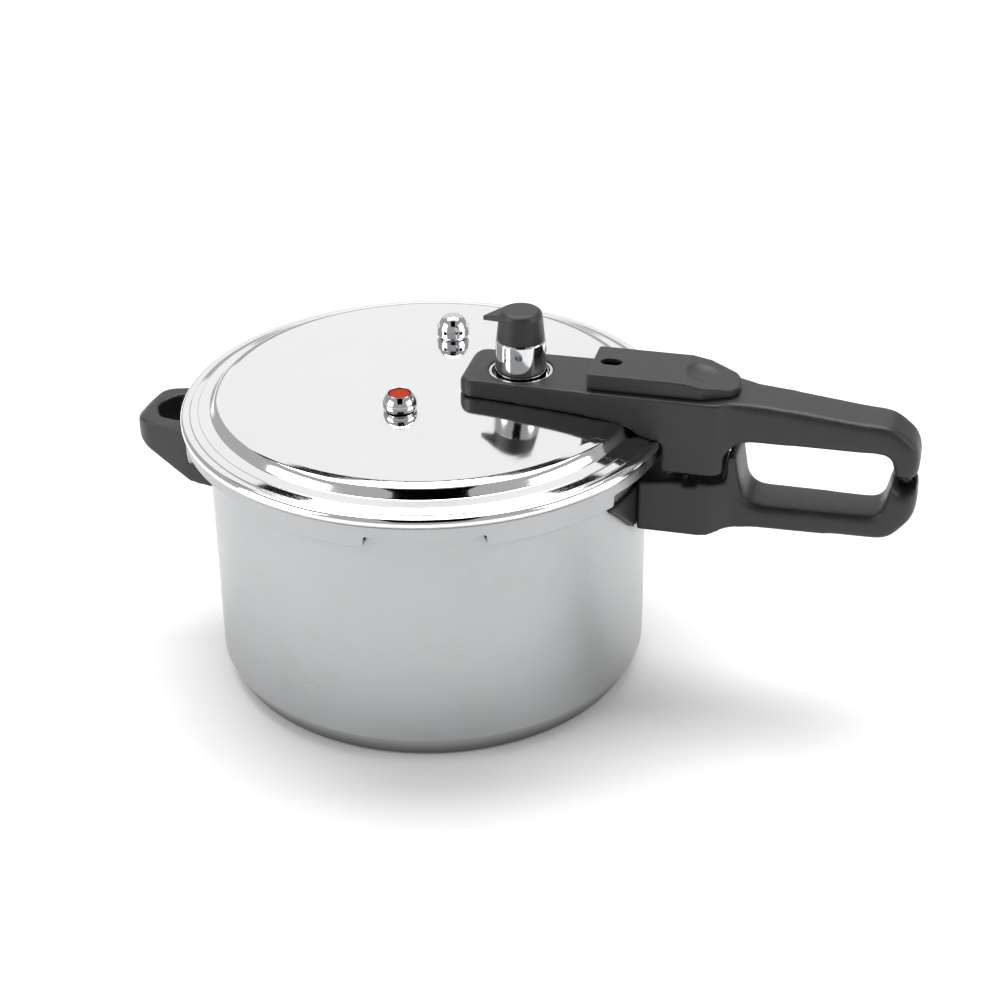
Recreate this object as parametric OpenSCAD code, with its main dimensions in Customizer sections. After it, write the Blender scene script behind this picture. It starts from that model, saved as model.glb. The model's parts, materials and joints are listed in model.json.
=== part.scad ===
// Stovetop pressure cooker with a turn-to-lock lid.
// Millimetres. The origin is the centre of the flat base, +Z is up and +X runs along the long handles.

/* [Pot] */
// Outside diameter of the pot wall
pot_d = 220; // [180:1:260]
// Height of the pot rim above the base
pot_h = 136.4; // [110:0.1:200]
// Thickness of the pot wall
wall_t = 2.5; // [2:0.1:4]
// Thickness of the pot base
base_t = 4; // [3:0.1:8]
// Height of the sloped corner between base and wall
bevel_h = 11.7; // [6:0.1:20]
// How far the base is smaller than the wall, on each side
bevel_in = 6; // [3:0.1:10]
// How far the rolled rim stands out from the wall
rim_out = 3.5; // [2:0.1:4]
// Height of the rolled rim
rim_h = 4.2; // [3:0.1:6]

/* [Lugs] */
// Number of locking lugs round the pot and round the lid
lug_count = 6; // [4:1:8]
// Width of a pot lug, in degrees
pot_lug_angle = 24; // [16:1:24]
// Width of a lid lug, in degrees
lid_lug_angle = 33; // [24:1:33]
// Direction of the first lug, in degrees from the long handle
lug_phase = 15; // [0:1:59]
// Thickness of each lug
lug_t = 2.4; // [2:0.1:3]
// How far the pot lugs stand out from the wall
lug_out = 7.5; // [5:0.1:8]
// Free height between a pot lug and the lid lug under it
lug_gap = 0.9; // [0.4:0.1:1.5]

/* [Lid] */
// Thickness of the lid metal
lid_t = 2.2; // [1.6:0.1:3]
// Height of the centre of the dome above the foot of its step
dome_h = 10.6; // [8:0.1:20]
// Height of the edge of the dome above the foot of its step
dome_edge_h = 5.5; // [4:0.1:8]
// Width of the round shoulder outside the dome
shoulder_w = 13; // [8:0.1:18]
// Radius of the rounded rim of the lid
bead_r = 2.7; // [2:0.1:4]
// Height of the skirt from the gasket down to its edge
skirt_h = 8.6; // [7:0.1:12]
// Thickness of the gasket between pot rim and lid
gasket_t = 3.3; // [2:0.1:5]

/* [Long handles] */
// Width of both handles at the pot
handle_w = 40; // [34:0.5:50]
// Width of both grips
grip_w = 28; // [22:0.5:36]
// Distance from the pot wall to the far end of the handles
handle_reach = 133.6; // [115:0.5:160]
// Height of the finger gap between the two grips
finger_gap = 33.6; // [28:0.2:40]
// Thickness of the lower grip
lower_grip_t = 13; // [10:0.5:18]
// Thickness of the upper grip at its thinnest
upper_grip_t = 15; // [12:0.5:20]
// Height of the handle arm above the middle of the dome
arm_over_dome = 9.1; // [7:0.1:14]

/* [Lock] */
// Width of the lock slider
slider_w = 33; // [26:0.5:34]
// Height of the lock slider above the handle
slider_h = 8.3; // [6:0.1:10]
// Travel of the lock slider
slider_travel = 8; // [5:0.5:8]
// Width of the lock bolt
bolt_w = 8; // [6:0.5:10]
// Thickness of the lock bolt
bolt_t = 4; // [3:0.5:5]

/* [Valves] */
// Distance of the pressure regulator from the middle of the lid
reg_x = 48; // [44:0.5:50]
// Diameter of the regulator weight
reg_d = 25.3; // [22:0.1:26]
// Diameter of the hole in the handle round the regulator
reg_hole_d = 28.7; // [27:0.1:32]
// Outside diameter of the vent pipe
pipe_d = 8; // [6:0.5:10]
// Bore of the vent pipe
pipe_bore = 3; // [2:0.5:4]
// Distance of the relief valve behind the middle of the lid
relief_y = 50; // [40:0.5:60]
// Diameter of the relief valve
relief_d = 16.6; // [14:0.1:20]
// Lift of the plunger in the relief valve
relief_lift = 1.5; // [0.5:0.1:2]
// Distance of the pressure indicator in front of the middle of the lid
indicator_y = 37; // [30:0.5:50]
// Diameter of the indicator guard
indicator_d = 16.8; // [14:0.1:20]
// Diameter of the red indicator button
button_d = 11; // [9:0.1:12]
// Rise of the red indicator button
button_rise = 3; // [1:0.5:4]
// Distance of the float pin from the middle of the lid
float_x = 90; // [88:0.5:92]
// Rise of the float pin
float_rise = 4; // [2:0.5:4]

/* [Helper handle] */
// Distance from the pot wall to the nose of the helper handle
helper_reach = 45; // [38:0.5:55]
// Width of the helper handle
helper_w = 52; // [46:0.5:70]
// Thickness of the grip bar of the helper handle
helper_bar = 10.5; // [8:0.5:14]
// Height of the helper handle beside the pot
helper_h = 30; // [24:0.5:36]

/* [Fasteners] */
// Diameter of the rivets that hold the two brackets
rivet_d = 4.8; // [4:0.1:6]
// Diameter of the handle screws
screw_d = 5; // [4:0.1:6]
// Clearance between fixed pieces, all round
fit = 0.1; // [0.05:0.01:0.2]
// Clearance between pieces that slide or turn, all round
slip = 0.4; // [0.3:0.05:0.6]

/* [Hidden] */
$fn = 96;
cut = 1;          // how far a cutting shape runs past what it cuts

aluminium = [0.80, 0.81, 0.83];
chrome = [0.90, 0.91, 0.93];
steel = [0.62, 0.64, 0.66];
brass = [0.78, 0.66, 0.36];
bakelite = [0.10, 0.10, 0.11];
red_rubber = [0.80, 0.16, 0.08];
grey_rubber = [0.72, 0.72, 0.70];

// Pot
pot_r = pot_d / 2;
pot_in_r = pot_r - wall_t;
rim_r = pot_r + rim_out;
pot_lug_r = pot_r + lug_out;
gasket_z = pot_h + 0.1;

// Lid heights, all counted from the underside of the gasket channel
channel_z = gasket_z + gasket_t + 0.1;
skirt_in_r = pot_lug_r + 1.8;
skirt_r = skirt_in_r + 1.8;
skirt_z = channel_z - skirt_h;
bead_x = skirt_r - 1;
bead_z = channel_z - 0.5;
lid_r = bead_x + bead_r;
foot_r = pot_r + 0.4;
foot_z = bead_z + bead_r + 2.3;
dome_r = foot_r - shoulder_w;
dome_top = foot_z + dome_h;
dome_drop = dome_h - dome_edge_h;
lid_lug_in_r = pot_r + 1.4;
pot_lug_z = channel_z - 11.2;
lid_lug_z = pot_lug_z - lug_gap - lug_t;

// Long handles
arm_z = dome_top + arm_over_dome;
arm_tip_x = reg_x - reg_hole_d / 2 - 13.2;
block_x = lid_r + 0.5;
block_z = lid_lug_z + 0.6;
block_end_r = pot_r + 42.3;
end_x = pot_r + handle_reach;
floor_z = block_z - 17.2;
grip_z = floor_z + finger_gap;
grip_x = block_end_r + 5.2;
grip_end_x = end_x - 12.6;
lower_top_z = block_z - 4.2;
lower_z = floor_z - lower_grip_t;
peg_x = end_x - 6.1;
end_gap_z = floor_z + 22;
split_z = block_z + 11;
guard_t = 2;
guard_h = 21;
guard_z = lower_top_z - 6 - guard_h;
handle_half = handle_w / 2;
grip_half = grip_w / 2;

// Lock
slider_x0 = float_x - 6.2;
slider_x1 = block_end_r + 4;
slider_z0 = arm_z + 0.15;
slider_top = arm_z + slider_h;
bolt_x = block_x + 14.8;
strike_t = 2.2;
strike_z = lower_top_z - strike_t;
bolt_z = strike_z + slip;
strike_x0 = block_x + 1.2;
strike_x1 = bolt_x - bolt_t / 2 - 2.2;
notch_x = bolt_x - bolt_t / 2 - slider_travel - slip;
screw_xs = [float_x - 21, float_x - 10];

// Helper handle
helper_top = pot_h - 13;
helper_x = pot_r + helper_reach;
helper_half = helper_w / 2;

// A point at angle a on a circle of radius r round c
function polar(c, r, a) = [c[0] + r * cos(a), c[1] + r * sin(a)];

// Rounds the corner b between a and c with radius r, as n + 1 points
function corner(a, b, c, r, n = 6) =
    let (u = (a - b) / norm(a - b), v = (c - b) / norm(c - b), half = acos(max(-1, min(1, u * v))) / 2,
        back = min(r / tan(half), 0.49 * norm(a - b), 0.49 * norm(c - b)), rr = back * tan(half),
        m = b + (u + v) / norm(u + v) * (rr / sin(half)), p = b + u * back - m, q = b + v * back - m,
        a0 = atan2(p[1], p[0]), turn = atan2(p[0] * q[1] - p[1] * q[0], p * q))
    [for (i = [0:n]) polar(m, rr, a0 + turn * i / n)];

// A closed outline from [x, y, radius] corners
function outline(k) = [for (i = [0:len(k) - 1])
    let (a = k[(i + len(k) - 1) % len(k)], b = k[i], c = k[(i + 1) % len(k)])
    each (b[2] == 0 ? [[b[0], b[1]]] : corner([a[0], a[1]], [b[0], b[1]], [c[0], c[1]], b[2]))];

// A half outline above the X axis, completed by its mirror image
function both_sides(k) = concat(k, [for (i = [len(k) - 1:-1:0]) [k[i][0], -k[i][1], k[i][2]]]);

function dome_z(r) = dome_top - dome_drop * pow(r / dome_r, 2);

// Extrudes an XZ outline across the handle
module across(points, w) {
    translate([0, w / 2, 0]) rotate([90, 0, 0]) linear_extrude(w) polygon(points);
}

module ring(r_out, r_in, z0, z1) {
    difference() {
        translate([0, 0, z0]) cylinder(r = r_out, h = z1 - z0);
        translate([0, 0, z0 - cut]) cylinder(r = r_in, h = z1 - z0 + 2 * cut);
    }
}

module turned(points) {
    rotate_extrude() polygon(points);
}

module box(x0, x1, half_w, z0, z1) {
    translate([x0, -half_w, z0]) cube([x1 - x0, 2 * half_w, z1 - z0]);
}

module hex(across_flats, h) {
    cylinder(d = across_flats / cos(30), h = h, $fn = 6);
}

// ---------------------------------------------------------------- pot

module bracket_holes(side) {
    for (z = bracket_rivet_z) translate([side * (pot_r + 3), 0, z]) rotate([0, -side * 90, 0])
        cylinder(d = rivet_d + 2 * fit, h = wall_t + 8);
}

bracket_mid_z = guard_z + guard_h / 2;
bracket_rivet_z = [bracket_mid_z - 6, bracket_mid_z + 6];
bracket_half = 9;
bracket_t = 1.9;
tongue_end = 29;
helper_tongue = 13;
tongue_hole = 5;
tongue_h = 4.6;
rivet_head_d = 1.5 * rivet_d;

module pot_body() color(aluminium) {
    difference() {
        union() {
            turned([[0, 0], [pot_r - bevel_in, 0], [pot_r, bevel_h], [pot_r, pot_h - rim_h],
                [rim_r, pot_h - rim_h + rim_out * 0.4], [rim_r, pot_h - 1], [rim_r - 1, pot_h],
                [pot_in_r + 0.6, pot_h], [pot_in_r, pot_h - 0.6], [pot_in_r, base_t + 8],
                [pot_in_r - 2.4, base_t + 2.4], [pot_in_r - 8, base_t], [0, base_t]]);
            for (i = [0:lug_count - 1])
                rotate_extrude(start = lug_phase + i * 360 / lug_count - pot_lug_angle / 2,
                    angle = pot_lug_angle) translate([pot_r - 0.5, pot_lug_z]) square([lug_out + 0.5, lug_t]);
        }
        bracket_holes(1);
        bracket_holes(-1);
    }
}

// A bracket plate that hugs the wall, with a tongue for the handle screw
module bracket(reach) {
    difference() {
        union() {
            intersection() {
                ring(pot_r + fit + bracket_t, pot_r + fit, bracket_mid_z - 9, bracket_mid_z + 9);
                box(0, pot_r + 10, bracket_half, bracket_mid_z - 10, bracket_mid_z + 10);
            }
            difference() {
                box(pot_r, pot_r + reach, 5, bracket_mid_z - tongue_h / 2, bracket_mid_z + tongue_h / 2);
                translate([0, 0, bracket_mid_z - tongue_h]) cylinder(r = pot_r + fit + 0.5, h = 2 * tongue_h);
            }
        }
        bracket_holes(1);
        translate([pot_r + reach - tongue_hole, 0, bracket_mid_z - tongue_h])
            cylinder(d = screw_d, h = 2 * tongue_h);
    }
}

// Room for a bracket's tongue inside a handle
module tongue_pocket(reach) {
    box(pot_r, pot_r + reach + 0.3, 5 + fit, bracket_mid_z - tongue_h / 2 - fit,
        bracket_mid_z + tongue_h / 2 + fit);
}

// Domed rivets through the wall and the bracket
module rivets() {
    for (z = bracket_rivet_z) translate([pot_in_r - 1.6, 0, z]) rotate([0, 90, 0]) {
        cylinder(d1 = rivet_d, d2 = rivet_head_d, h = 1.1);
        cylinder(d = rivet_d, h = wall_t + bracket_t + 2.4);
        translate([0, 0, wall_t + bracket_t + 1.9]) cylinder(d1 = rivet_head_d, d2 = rivet_d, h = 1.1);
    }
}

module pot_bracket() color(steel) bracket(tongue_end);

module bracket_rivets() color(aluminium) rivets();

lower_side = outline([[pot_r - 4, lower_top_z - 3.4, 0], [pot_r + 17, lower_top_z - 0.4, 8],
    [block_end_r + 0.5, lower_top_z, 1.5], [block_end_r + 0.8, block_z + 9.6, 1.5],
    [block_end_r + 5, block_z + 9.6, 3], [block_end_r + 9.5, floor_z, 9], [grip_end_x - 4, floor_z + 0.4, 7],
    [grip_end_x, end_gap_z - 2.2, 2], [end_x, end_gap_z - 2.2, 4], [end_x, floor_z + 2, 12],
    [end_x - 12, lower_z + 1.6, 12], [block_end_r + 0.5, lower_z, 8], [block_end_r - 9, lower_z - 3, 9],
    [pot_r - 4, lower_z - 3, 0]]);
lower_plan = outline(both_sides([[pot_r - 6, handle_half + 0.5, 0], [pot_r + 36, handle_half + 0.5, 6],
    [block_end_r + 5, grip_half + 0.6, 8], [end_x - 22, grip_half - 0.8, 10], [end_x, grip_half - 1.5, 7]]));
lower_screw_x = pot_r + tongue_end - tongue_hole;

module lower_handle() color(bakelite) difference() {
    intersection() {
        across(lower_side, handle_w + 8);
        translate([0, 0, lower_z - 10]) linear_extrude(80) polygon(lower_plan);
    }
    cylinder(r = pot_r + guard_t + 3 * fit, h = pot_h);
    // the horn follows the swing of the lid's handle
    ring(block_end_r + slip, pot_r + 20, lower_top_z, pot_h + 20);
    // pocket for the bracket tongue and the rivet heads
    tongue_pocket(tongue_end);
    box(pot_r, pot_r + 5.5, 5 + fit, bracket_mid_z - 10.5, bracket_mid_z + 10.5);
    translate([lower_screw_x, 0, lower_z - 10]) cylinder(d = screw_d + 2 * fit, h = 30);
    translate([lower_screw_x, 0, lower_z - 10]) cylinder(d = 2 * screw_d, h = 11);
    // seat for the strike plate
    box(strike_x0 - fit, strike_x1 + fit, 13 + fit, strike_z, lower_top_z + cut);
    for (s = [-1, 1]) translate([strike_x0 + 3.2, s * 9, strike_z - 6]) cylinder(d = 2.6, h = 10);
    // channel that the bolt swings through
    ring(bolt_x + bolt_t / 2 + slip + 0.2, strike_x1 - 0.6, strike_z, lower_top_z + cut);
    // notch at the far end, open on the side that the lid's handle leaves by
    translate([peg_x - 4.6, -grip_half - 5, end_gap_z - 8.4]) cube([9.2, grip_half + 9.5, 20]);
}

module lower_handle_screw() color(steel) translate([lower_screw_x, 0, lower_z + 0.95]) mirror([0, 0, 1]) {
    difference() {
        cylinder(d = 1.8 * screw_d, h = 2.6);
        translate([0, 0, 1.4]) hex(screw_d * 0.6, 3);
    }
    translate([0, 0, -(bracket_mid_z + 2.5 - lower_z - 0.95)])
        cylinder(d = screw_d - 0.1, h = bracket_mid_z + 2.5 - lower_z);
}

module flame_guard() color(bakelite) difference() {
    intersection() {
        ring(pot_r + guard_t + fit, pot_r + fit, guard_z, guard_z + guard_h);
        translate([pot_r - 40, 0, 0]) rotate([90, 0, 90]) linear_extrude(50)
            polygon([[-44, guard_z + guard_h], [-44, guard_z + guard_h - 2], [-22, guard_z],
                [22, guard_z], [44, guard_z + guard_h - 2], [44, guard_z + guard_h]]);
    }
    box(pot_r - 8, pot_r + 8, bracket_half + 0.3, bracket_mid_z - 9.2, bracket_mid_z + 9.2);
}

module strike_plate() color(steel) difference() {
    box(strike_x0, strike_x1, 13, strike_z, lower_top_z - fit);
    box(notch_x, strike_x1 + cut, bolt_w / 2 + slip, strike_z - cut, lower_top_z + cut);
    for (s = [-1, 1]) translate([strike_x0 + 3.2, s * 9, strike_z - cut]) cylinder(d = 2.6, h = 5);
}

module strike_screws() color(steel) for (s = [-1, 1]) translate([strike_x0 + 3.2, s * 9, 0]) {
    translate([0, 0, strike_z - 5.5]) cylinder(d = 2.5, h = strike_t + 5.5);
    translate([0, 0, lower_top_z - fit]) cylinder(d1 = 4.6, d2 = 3.2, h = 1);
}

// ---------------------------------------------------------------- helper handle

module helper_bracket() color(aluminium) mirror([1, 0, 0]) bracket(helper_tongue);

module helper_rivets() color(aluminium) mirror([1, 0, 0]) rivets();

helper_side = outline([[pot_r - 8, helper_top, 0], [helper_x - 6, helper_top - 0.5, 6],
    [helper_x, helper_top - 5, 3.5], [helper_x - 2, helper_top - 12, 4],
    [pot_r + 10, helper_top - helper_h, 6], [pot_r - 8, helper_top - helper_h - 1.5, 0]]);
helper_plan = outline(both_sides([[pot_r - 12, helper_half + 3, 0], [pot_r + 12, helper_half, 12],
    [helper_x - 6, helper_half - 7, 14], [helper_x, 4, 14]]));
helper_hole = outline(both_sides([[pot_r + helper_tongue + 1.5, helper_half - helper_bar, 4],
    [helper_x - helper_bar - 5, helper_half - helper_bar - 3, 6], [helper_x - helper_bar, 3, 5]]));
helper_screw_x = pot_r + helper_tongue - tongue_hole;

module helper_handle() color(bakelite) mirror([1, 0, 0]) difference() {
    intersection() {
        across(helper_side, helper_w + 16);
        translate([0, 0, helper_top - 50]) linear_extrude(60) polygon(helper_plan);
    }
    cylinder(r = pot_r + 4 * fit, h = pot_h);
    translate([0, 0, helper_top - 50]) linear_extrude(60) polygon(helper_hole);
    box(pot_r - 8, pot_r + 4.6, bracket_half + 0.3, bracket_mid_z - 10.5, bracket_mid_z + 10.5);
    tongue_pocket(helper_tongue);
    translate([helper_screw_x, 0, 0]) cylinder(d = screw_d + 2 * fit, h = bracket_mid_z + 4);
}

module helper_screw() color(steel) translate([-helper_screw_x, 0, 0]) {
    z = helper_top - helper_h - 2.8;
    translate([0, 0, z]) cylinder(d1 = 7.4, d2 = 9, h = 1.8);
    translate([0, 0, z]) cylinder(d = screw_d - 0.1, h = bracket_mid_z + 2.6 - z);
}

// ---------------------------------------------------------------- lid

module gasket_ring() color(grey_rubber)
    turned([[foot_r - 2, gasket_z], [skirt_in_r - slip, gasket_z], [skirt_in_r - slip, channel_z - 0.1],
        [foot_r - 2, channel_z - 0.1]]);

crease = [bead_x - 2.8, bead_z + bead_r + 0.1];
dome_curve = [for (i = [0:10]) [dome_r * i / 10, dome_z(dome_r * i / 10)]];
shoulder = [[foot_r - 6.4, foot_z + 3.9], [foot_r - 2, foot_z + 2.2], [foot_r - 0.5, foot_z + 1.1],
    [foot_r, foot_z]];
lid_top = concat(dome_curve, shoulder, [crease]);
bead = [for (i = [0:8]) polar([bead_x, bead_z], bead_r, 105 - i * 20)];
underside = [for (p = [each dome_curve, shoulder[0], shoulder[1]])
    [max(0, p[0] - lid_t * p[0] / foot_r), p[1] - lid_t]];

// Everything under the outside of the lid, for shaping what stands on it
module lid_envelope() turned(concat([[0, block_z - 5]], [for (p = lid_top) [p[0], p[1] + 0.2]],
    [[bead_x + 1, bead_z + bead_r + 0.3], [block_x, bead_z + 1.2], [block_x, block_z - 5]]));

module hole_at(x, y, d) {
    translate([x, y, channel_z - cut]) cylinder(d = d, h = 30);
}

module lid_shell() color(aluminium) difference() {
    turned(concat(lid_top, bead,
        [[skirt_r, bead_z - bead_r], [skirt_r, lid_lug_z + 1], [skirt_r - 1, lid_lug_z],
            [lid_lug_in_r, lid_lug_z], [lid_lug_in_r, lid_lug_z + lug_t], [skirt_in_r, lid_lug_z + lug_t],
            [skirt_in_r, channel_z], [foot_r - lid_t - 0.2, channel_z], [foot_r - lid_t - 0.4, foot_z - 0.4]],
        [for (i = [len(underside) - 1:-1:0]) underside[i]]));
    // the skirt is cut back between the lugs
    for (i = [0:lug_count - 1])
        rotate_extrude(start = lug_phase + i * 360 / lug_count + lid_lug_angle / 2,
            angle = 360 / lug_count - lid_lug_angle)
            translate([lid_lug_in_r - cut, lid_lug_z - cut])
                square([skirt_r - lid_lug_in_r + 2 * cut, skirt_z - lid_lug_z + cut]);
    hole_at(reg_x, 0, pipe_d + 2 * fit);
    hole_at(0, relief_y, relief_tube_d + 2 * fit);
    hole_at(indicator_x, -indicator_y, indicator_tube_d + 2 * fit);
    hole_at(float_x, 0, float_tube_d + 2 * fit);
    for (x = screw_xs) hole_at(x, 0, screw_d + 2 * fit);
}

relief_tube_d = 9;
indicator_tube_d = 8;
indicator_x = -3;
float_tube_d = 6;
float_pin_d = 3.4;

// Level of a round seat of radius r at distance x from the middle, above and below the metal
function seat_z(x, r) = dome_z(max(0, x - r)) + 0.05;
function under_z(x, r) = dome_z((x + r) * foot_r / (foot_r - lid_t)) - lid_t - 0.05;

// ---------------------------------------------------------------- long upper handle

upper_side = outline([[arm_tip_x, dome_top - 8, 0], [arm_tip_x, arm_z, 4], [block_end_r - 2, arm_z, 30],
    [pot_r + 72, grip_z + upper_grip_t + 4.2, 60], [pot_r + 103, grip_z + upper_grip_t + 0.8, 20],
    [end_x - 14, grip_z + upper_grip_t, 14], [end_x, grip_z + 4, 12], [end_x - 0.4, end_gap_z, 2],
    [grip_end_x + 0.4, end_gap_z, 2], [grip_end_x, grip_z, 7], [grip_x, grip_z, 7],
    [block_end_r - 0.4, grip_z - 6, 4], [block_end_r - 0.6, block_z, 3], [pot_r, block_z, 0]]);
upper_plan = outline(both_sides([[arm_tip_x, handle_half - 1.4, 8], [pot_r - 25, handle_half, 60],
    [block_end_r - 6, handle_half + 0.2, 6], [block_end_r + 2, grip_half + 2, 8],
    [block_end_r + 13, grip_half, 12], [end_x - 12, grip_half - 1.5, 12], [end_x, grip_half - 1.5, 6]]));
cover_screw_x = block_end_r - 7.5;

module upper_solid() difference() {
    intersection() {
        across(upper_side, handle_w + 10);
        translate([0, 0, block_z - 5]) linear_extrude(60) polygon(upper_plan);
    }
    lid_envelope();
    // stays inside the horn of the lower handle as it swings
    ring(pot_r + 60, block_end_r, block_z - 5, block_z + 10.4);
    box(notch_x, bolt_x + bolt_t / 2 + slip, bolt_w / 2 + slip, block_z - 5, arm_z + 5);
    for (s = [-1, 1]) translate([cover_screw_x, 12 * s, block_z - 1]) cylinder(d = 3.2, h = 26);
}

module cover_region() box(pot_r, pot_r + 50, handle_w, block_z - 10, split_z);

module upper_handle() color(bakelite) difference() {
    upper_solid();
    cover_region();
    hole_at(reg_x, 0, reg_hole_d + 2.6);
    for (x = screw_xs) translate([x, 0, channel_z]) cylinder(d = 8 + 2 * fit, h = arm_z - 2 - channel_z);
    translate([float_x, 0, channel_z]) cylinder(d = 13, h = arm_z - 7 - channel_z);
    hole_at(float_x, 0, float_pin_d + 3);
    translate([peg_x, 0, end_gap_z - 1]) cylinder(d = 4, h = 12);
}

module handle_cover() color(bakelite) difference() {
    intersection() {
        upper_solid();
        translate([0, 0, -0.05]) cover_region();
    }
    for (s = [-1, 1]) translate([cover_screw_x, 12 * s, block_z - 1]) cylinder(d = 5.8, h = 3.6);
}

module cover_screws() color(steel) for (s = [-1, 1]) translate([cover_screw_x, 12 * s, block_z + 0.6]) {
    cylinder(d = 5.4, h = 2);
    cylinder(d = 3, h = 23);
}

module handle_screws() color(steel) for (x = screw_xs) {
    z = under_z(x, 5);
    translate([x, 0, z - 3]) hex(8, 3);
    translate([x, 0, z - 1]) cylinder(d = screw_d, h = arm_z - 3 - z);
}

module handle_inserts() color(brass) for (x = screw_xs) translate([x, 0, 0])
    ring(4, screw_d / 2 + 0.05, dome_top + 0.6, arm_z - 2.2);

module trim_ring() color(chrome) translate([reg_x, 0, 0])
    ring(reg_hole_d / 2 + 1.2, reg_hole_d / 2, seat_z(reg_x, reg_hole_d / 2 + 2) + 0.3, arm_z - 1);

module end_peg() color(bakelite) translate([peg_x, 0, 0])
    turned(concat([[0, end_gap_z + 10], [1.9, end_gap_z + 10], [1.9, end_gap_z - 2.4]],
        [for (i = [0:8]) polar([0, end_gap_z - 5.1], 2.8, 50 - i * 17.5)]));

// ---------------------------------------------------------------- pressure regulator

pipe_seat = seat_z(reg_x, 8);
pipe_under = under_z(reg_x, 8);
pipe_top = pipe_seat + 18;
weight_z = pipe_seat + 4;
weight_top = arm_z + 16.2;
cap_top = arm_z + 31.3;
reg_r = reg_d / 2;

module vent_pipe() color(steel) translate([reg_x, 0, 0]) difference() {
    union() {
        translate([0, 0, pipe_seat]) hex(13, 3.2);
        translate([0, 0, pipe_under - 7]) cylinder(d = pipe_d, h = pipe_top - pipe_under + 7);
    }
    translate([0, 0, pipe_under - 8]) cylinder(d = pipe_bore, h = pipe_top - pipe_under + 10);
}

module vent_seal() color(grey_rubber) translate([reg_x, 0, 0])
    ring(8, pipe_d / 2 + fit, pipe_under - 1.3, pipe_under);

module vent_nut() color(steel) translate([reg_x, 0, pipe_under - 4.6]) difference() {
    hex(13, 3.2);
    translate([0, 0, -cut]) cylinder(d = pipe_d + 2 * fit, h = 6);
}

module vent_shield() color(steel) translate([reg_x, 0, pipe_under - 9.2]) difference() {
    cylinder(d = 14, h = 4.5);
    translate([0, 0, 1]) cylinder(d = 12, h = 2.6);
    translate([0, 0, 2]) cylinder(d = pipe_d + 2 * fit, h = 4);
    for (i = [0:5]) rotate(i * 60) translate([4, 0, -cut]) cylinder(d = 1.6, h = 3);
}

module regulator_clip() color(steel) translate([reg_x, 0, 0]) difference() {
    ring(5.6, pipe_d / 2 + 0.08, weight_z + 0.6, weight_z + 1.8);
    box(3, 7, 1.5, weight_z, weight_z + 3);
}

module regulator_weight() color(chrome) translate([reg_x, 0, 0]) difference() {
    turned([[reg_r - 3, weight_z], [reg_r - 0.7, weight_z], [reg_r - 0.2, weight_z + 1.2],
        [reg_r, weight_z + 5], [reg_r - 0.4, weight_top - 0.4], [reg_r - 0.8, weight_top],
        [0, weight_top], [0, weight_z]]);
    translate([0, 0, weight_z - cut]) cylinder(r = pipe_d / 2 + slip, h = pipe_top + slip - weight_z + cut);
    translate([0, 0, weight_z - cut]) cylinder(r = 6, h = 2.3 + cut);
    translate([0, 0, pipe_top]) cylinder(d = 5 + 2 * fit, h = 6);
    // steam leaves by four holes round the side
    for (a = [-81.5:90:200]) translate([0, 0, weight_top - 5.2]) rotate([0, 90, a])
        translate([0, 0, 2]) cylinder(d = 3.4, h = 20);
}

module regulator_needle() color(brass) translate([reg_x, 0, 0])
    turned([[0, pipe_top - 1.2], [0.4, pipe_top - 1.2], [pipe_bore / 2 - 0.25, pipe_top + 0.3],
        [2.5, pipe_top + 0.7], [2.5, pipe_top + 5.8], [0, pipe_top + 5.8]]);

module regulator_cap() color(bakelite) translate([reg_x, 0, 0]) {
    turned([[0, weight_top + 0.1], [reg_r - 0.8, weight_top + 0.1], [reg_r - 1.2, weight_top + 4],
        [reg_r - 2, cap_top - 3], [reg_r - 2.6, cap_top - 1.2], [reg_r - 4, cap_top - 0.2],
        [reg_r - 5, cap_top], [0, cap_top]]);
    // pointer
    intersection() {
        translate([0, 0, cap_top - 9]) linear_extrude(12)
            polygon(outline(both_sides([[-18.6, 0.9, 0.8], [-7, 7.4, 5], [0, 5, 1]])));
        across([[0, cap_top - 5], [-9, cap_top - 5], [-18.6, cap_top - 7.2], [-18.6, cap_top - 5.2],
            [-9, cap_top - 1.6], [0, cap_top - 0.6]], 30);
    }
}

// ---------------------------------------------------------------- relief valve

relief_seat = seat_z(relief_y, relief_d / 2);
relief_under = under_z(relief_y, relief_d / 2);
relief_cavity = 9;

module relief_body() color(steel) translate([0, relief_y, 0]) difference() {
    union() {
        ring(7, 1.6, relief_seat, relief_seat + 1.6);
        ring(relief_tube_d / 2, 1.6, relief_under - 5, relief_seat + 3);
    }
}

module relief_seal() color(grey_rubber) translate([0, relief_y, 0])
    ring(8, relief_tube_d / 2 + fit, relief_under - 1.2, relief_under);

module relief_nut() color(steel) translate([0, relief_y, relief_under - 4.6]) difference() {
    hex(13, 3.2);
    translate([0, 0, -cut]) cylinder(d = relief_tube_d + 2 * fit, h = 6);
}

module relief_dome() color(chrome) translate([0, relief_y, relief_seat]) difference() {
    turned(concat([[0, 0], [relief_d / 2 - 0.3, 0], [relief_d / 2, 0.4]],
        [for (i = [0:8]) [relief_d / 2 * cos(i * 11.25), 3.4 + 8.8 * sin(i * 11.25)]]));
    translate([0, 0, -cut]) cylinder(r = 7 + fit, h = 1.7 + cut);
    cylinder(r = 5.2, h = relief_cavity);
    for (a = [-105:60:200]) rotate([0, 90, a]) translate([-4.6, 0, 4]) cylinder(d = 2, h = 10);
}

module relief_plunger() color(steel) translate([0, relief_y, relief_seat]) {
    translate([0, 0, 3.05]) cylinder(d = 7.6, h = 1);
    translate([0, 0, 3.5]) cylinder(d = 3, h = relief_cavity - relief_lift - 3.8);
}

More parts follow.
